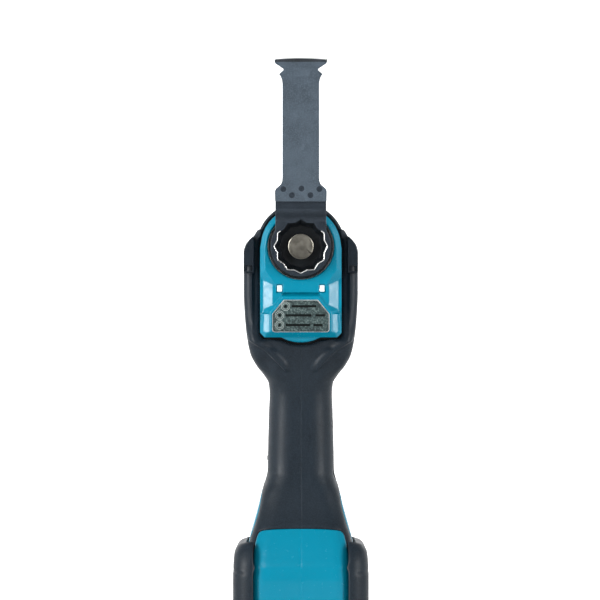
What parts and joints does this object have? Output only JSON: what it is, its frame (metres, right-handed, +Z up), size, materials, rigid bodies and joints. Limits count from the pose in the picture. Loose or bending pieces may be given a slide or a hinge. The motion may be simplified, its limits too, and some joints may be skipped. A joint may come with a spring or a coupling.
{
  "type": "oscillating multi tool",
  "caption": "Cordless oscillating multi tool with a slim rubber grip, a quick-change star holder, a plunge saw blade, a clamping lever, a slide switch and a speed dial.",
  "frame": {"origin": "on the floor under the middle of the overall bounding box, with the tool standing on its battery foot", "axes": "+Z up the tool from the foot to the blade, -Y towards the face with the blade, +X the user's left"},
  "size_m": [0.0824, 0.118, 0.3629],
  "materials": {
    "teal_plastic": "glossy moulded nylon",
    "soft_rubber": "fine-grained soft grip",
    "black_plastic": "satin moulded",
    "cast_alloy": "die cast",
    "steel": "machined",
    "black_steel": "black oxide",
    "blade_steel": "blued, rolled",
    "hub_steel": "phosphated",
    "plate_metal": "printed plate",
    "clear_lens": "clear",
    "circuit_board": "lacquered",
    "lamination": "stacked sheet",
    "copper_wire": null,
    "brass": "turned"
  },
  "bodies": {
    "housing": {"housing_left": "teal_plastic", "housing_right": "teal_plastic", "overmold_left": "soft_rubber", "overmold_right": "soft_rubber", "foot_bumper_left": "soft_rubber", "foot_bumper_right": "soft_rubber", "housing_screw_1": "steel", "housing_screw_2": "steel", "housing_screw_3": "steel", "housing_screw_4": "steel", "housing_screw_5": "steel", "head_cover": "teal_plastic", "info_plate": "plate_metal", "led_lens_left": "clear_lens", "led_lens_right": "clear_lens", "led_board": "circuit_board", "bearing_plate": "cast_alloy", "gear_housing": "cast_alloy", "dust_seal": "soft_rubber", "spindle_bearing_front": "steel", "spindle_bearing_rear": "steel", "isolator_1": "soft_rubber", "isolator_2": "soft_rubber", "isolator_3": "soft_rubber", "isolator_4": "soft_rubber", "motor_housing": "teal_plastic", "stator_core": "lamination", "winding_front": "copper_wire", "winding_rear": "copper_wire", "rotor_bearing_front": "steel", "rotor_bearing_rear": "steel", "lever_bracket": "cast_alloy", "lever_pin": "steel", "clamp_spring": "steel", "micro_switch": "black_plastic", "dial_potentiometer": "circuit_board", "battery_rails": "black_plastic", "terminal_block": "black_plastic", "terminal_plus": "brass", "terminal_minus": "brass", "controller": "black_plastic", "motor_harness": "soft_rubber"},
    "spindle": {"spindle_shaft": "steel", "tool_holder": "black_steel", "swing_arm": "steel"},
    "clamp": {"clamp_bolt": "steel", "spring_collar": "steel"},
    "blade": {"blade_strip": "blade_steel", "blade_hub": "hub_steel"},
    "rotor": {"rotor_shaft": "steel", "rotor_core": "lamination", "cooling_fan": "black_plastic", "eccentric_bearing": "steel", "balance_weight": "brass"},
    "lever": {"lock_lever": "black_plastic"},
    "switch": {"switch_slider": "black_plastic"},
    "dial": {"speed_dial": "black_plastic"}
  },
  "joints": [
    {"name": "rotor_spin", "type": "hinge", "parent": "housing", "child": "rotor", "pos_m": [0, 0, 0.2144], "axis": [0, 1, 0], "continuous": true},
    {"name": "spindle_oscillation", "type": "hinge", "parent": "housing", "child": "spindle", "pos_m": [0, 0, 0.2488], "axis": [0, 1, 0], "range_deg": [-1.8, 1.8]},
    {"name": "blade_index", "type": "hinge", "parent": "spindle", "child": "blade", "pos_m": [0, 0, 0.2488], "axis": [0, 1, 0], "continuous": true},
    {"name": "clamp_release", "type": "slide", "parent": "spindle", "child": "clamp", "axis": [0, -1, 0], "range_m": [0, 0.003], "deforming": ["clamp_spring"]},
    {"name": "lever_open", "type": "hinge", "parent": "housing", "child": "lever", "pos_m": [0, 0.044, 0.2488], "axis": [1, 0, 0], "range_deg": [0, 110]},
    {"name": "switch_slide", "type": "slide", "parent": "housing", "child": "switch", "axis": [0, 0, 1], "range_m": [0, 0.007]},
    {"name": "dial_turn", "type": "hinge", "parent": "housing", "child": "dial", "pos_m": [-0.00905, 0.0131, 0.1178], "axis": [0, 0, 1], "range_deg": [0, 270]}
  ],
  "couplings": [
    {"joint": "clamp_release", "follows": "lever_open", "m_per_rad": 0.0015625}
  ]
}
